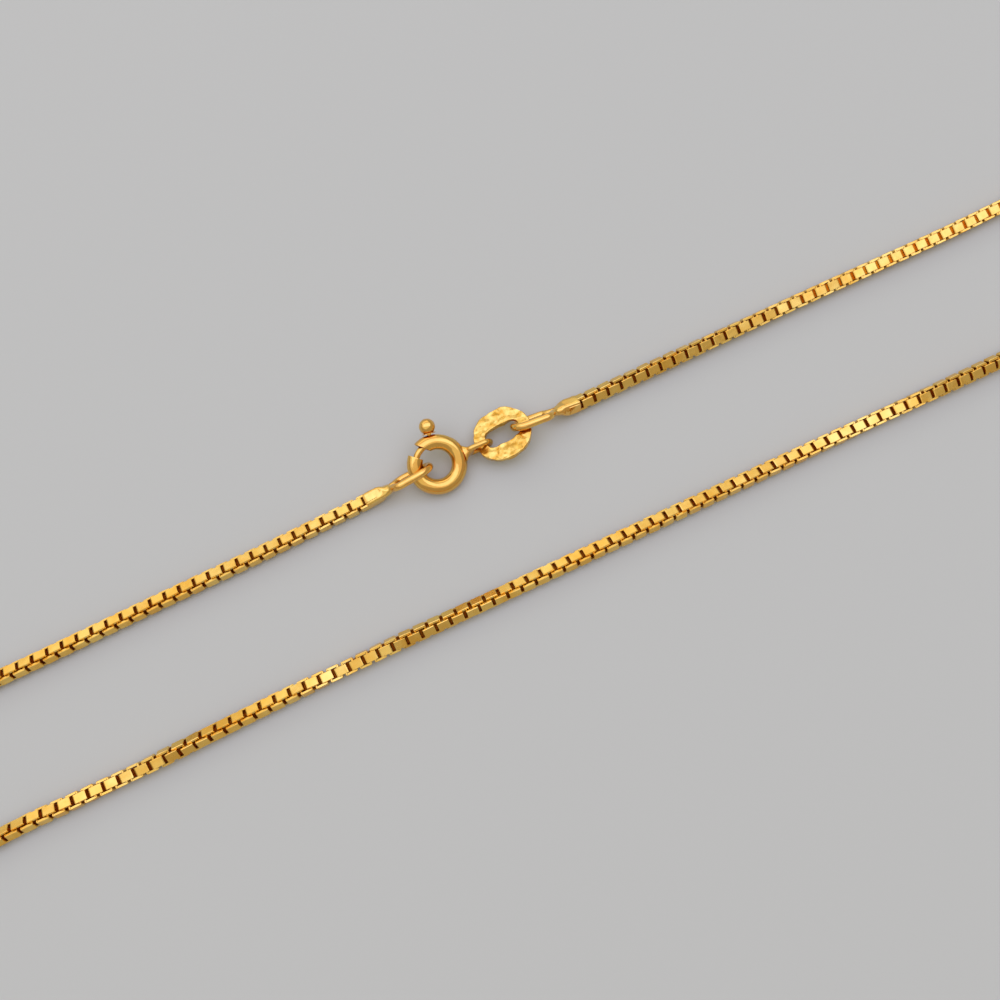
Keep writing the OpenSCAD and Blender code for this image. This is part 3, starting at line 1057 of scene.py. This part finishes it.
class NECKLACE_OT_oval_tag(bpy.types.Operator):
    """Make the flat oval tag with its oblong hole"""

    bl_idname = "necklace.oval_tag"
    bl_label = "Oval Tag"

    def execute(self, context):
        size, colour = sizes(), finish()
        bm = flat_tag(size)
        low, high = (corner / TO_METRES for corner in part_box("tag_ring"))
        middle = (low + high) / 2
        lie = (
            Matrix.Translation(middle)
            @ Matrix.Rotation(TAG_PITCH, 4, "Y")
            @ Matrix.Rotation(-TAG_LEAN, 4, "X")
        )
        bmesh.ops.transform(bm, matrix=lie, verts=bm.verts)
        surface = gold(
            "tag_gold", colour.bright_gold, colour.worn_gold,
            patch=0.7, dent=1.1, rough=(0.12, 0.24), grain=0.3, clear=0.95
        )
        finish_piece(bm, "oval_tag", surface, "necklace", "tag_ring", sharp=70)
        return {"FINISHED"}


class NECKLACE_OT_spring_ring(bpy.types.Operator):
    """Make the spring ring's tube with its soldered eye"""

    bl_idname = "necklace.spring_ring"
    bl_label = "Spring Ring"

    def execute(self, context):
        size, colour = sizes(), finish()
        bm = bent_tube(size)
        eye_turn = Matrix.Rotation(EYE_ANGLE, 4, "Z") @ Matrix.Rotation(math.pi / 2 + EYE_TWIST, 4, "X")
        take_in(bm, soldered_eye(size), eye_turn)
        take_in(bm, eye_solder(size), Matrix.Rotation(EYE_ANGLE, 4, "Z") @ Matrix.Rotation(EYE_TWIST, 4, "X"))
        bmesh.ops.transform(bm, matrix=clasp_place(), verts=bm.verts)
        surface = gold(
            "ring_gold", colour.bright_gold, colour.solder_gold,
            patch=2.2, dent=1.1, rough=(0.08, 0.16), grain=0.04, clear=1.3
        )
        finish_piece(bm, "spring_ring", surface, "necklace", "clasp_ring")
        return {"FINISHED"}


class NECKLACE_OT_trigger_bolt(bpy.types.Operator):
    """Make the bolt with its stem, collar and thumb ball"""

    bl_idname = "necklace.trigger_bolt"
    bl_label = "Trigger Bolt"

    def execute(self, context):
        size, colour = sizes(), finish()
        bm = bmesh.new()
        take_in(bm, rounded_wire(size))
        take_in(bm, thumb_ball(size), Matrix.Rotation(BALL_ANGLE, 4, "Z"))
        bmesh.ops.transform(bm, matrix=clasp_place(), verts=bm.verts)
        surface = gold(
            "bolt_gold", colour.bright_gold, colour.solder_gold,
            patch=1.0, dent=0.8, rough=(0.08, 0.15), grain=0.02, clear=1.2
        )
        finish_piece(bm, "trigger_bolt", surface, "clasp_bolt", "clasp_bolt")
        return {"FINISHED"}


class NECKLACE_OT_stage(bpy.types.Operator):
    """Set the pale floor, the soft light and the camera"""

    bl_idname = "necklace.stage"
    bl_label = "Stage"

    def execute(self, context):
        scene, colour = context.scene, finish()
        bm = bmesh.new()
        bmesh.ops.create_grid(bm, x_segments=1, y_segments=1, size=FLOOR_SIZE / 2)
        mesh = bpy.data.meshes.new("floor")
        bm.to_mesh(mesh)
        bm.free()
        floor = bpy.data.objects.new("floor", mesh)
        scene.collection.objects.link(floor)
        plain = bpy.data.materials.new("pale_floor")
        plain.use_nodes = True
        shader = plain.node_tree.nodes["Principled BSDF"]
        shader.inputs["Base Color"].default_value = (*colour.floor, 1)
        shader.inputs["Roughness"].default_value = 0.8
        shader.inputs["Specular IOR Level"].default_value = 0.2
        mesh.materials.append(plain)

        world = bpy.data.worlds.new("room")
        world.use_nodes = True
        air = world.node_tree.nodes["Background"]
        air.inputs["Color"].default_value = (1.0, 0.9, 0.77, 1)
        air.inputs["Strength"].default_value = 0.45
        scene.world = world

        softbox(
            "wide_softbox", at=(-0.05, 0.16, 0.64), width=2.2, height=1.8, watts=5.6, colour=(1.0, 0.985, 0.97)
        )
        softbox("behind", at=(-0.1, 1.3, 0.5), width=2.0, height=1.0, watts=2.2, colour=(1.0, 0.97, 0.9))
        softbox(
            "bright_middle", at=(0.03, 0.11, 0.6), width=1.35, height=0.52, watts=1.45, colour=(0.94, 1.02, 1.85)
        )

        lens = bpy.data.cameras.new("camera")
        lens.lens = lens.sensor_width = 36
        lens.clip_start = 0.002
        lens.clip_end = 20
        camera = bpy.data.objects.new("camera", lens)
        camera.location = CAMERA_AT
        camera.rotation_euler = (CAMERA_TILT, 0, -STRAND_ANGLE)
        scene.collection.objects.link(camera)
        scene.camera = camera
        scene.view_settings.view_transform = "Standard"
        return {"FINISHED"}


STEPS = (
    NECKLACE_OT_box_links,
    NECKLACE_OT_end_loops,
    NECKLACE_OT_oval_tag,
    NECKLACE_OT_spring_ring,
    NECKLACE_OT_trigger_bolt,
    NECKLACE_OT_stage,
)


class NECKLACE_PT_maker(bpy.types.Panel):
    """Buttons for the necklace's pieces, in the order they are made"""

    bl_label = "Box Chain Necklace"
    bl_idname = "NECKLACE_PT_maker"
    bl_space_type = "VIEW_3D"
    bl_region_type = "UI"
    bl_category = "Necklace"

    def draw(self, context):
        for step in STEPS:
            self.layout.operator(step.bl_idname)


CLASSES = (NecklaceSizes, NecklaceFinish, *STEPS, NECKLACE_PT_maker)


def register():
    for cls in CLASSES:
        bpy.utils.register_class(cls)
    bpy.types.Scene.necklace_sizes = PointerProperty(type=NecklaceSizes)
    bpy.types.Scene.necklace_finish = PointerProperty(type=NecklaceFinish)


def unregister():
    del bpy.types.Scene.necklace_finish
    del bpy.types.Scene.necklace_sizes
    for cls in reversed(CLASSES):
        bpy.utils.unregister_class(cls)


def main():
    register()
    bpy.ops.necklace.box_links()
    bpy.ops.necklace.end_loops()
    bpy.ops.necklace.oval_tag()
    bpy.ops.necklace.spring_ring()
    bpy.ops.necklace.trigger_bolt()
    bpy.ops.necklace.stage()


if __name__ == "__main__":
    main()
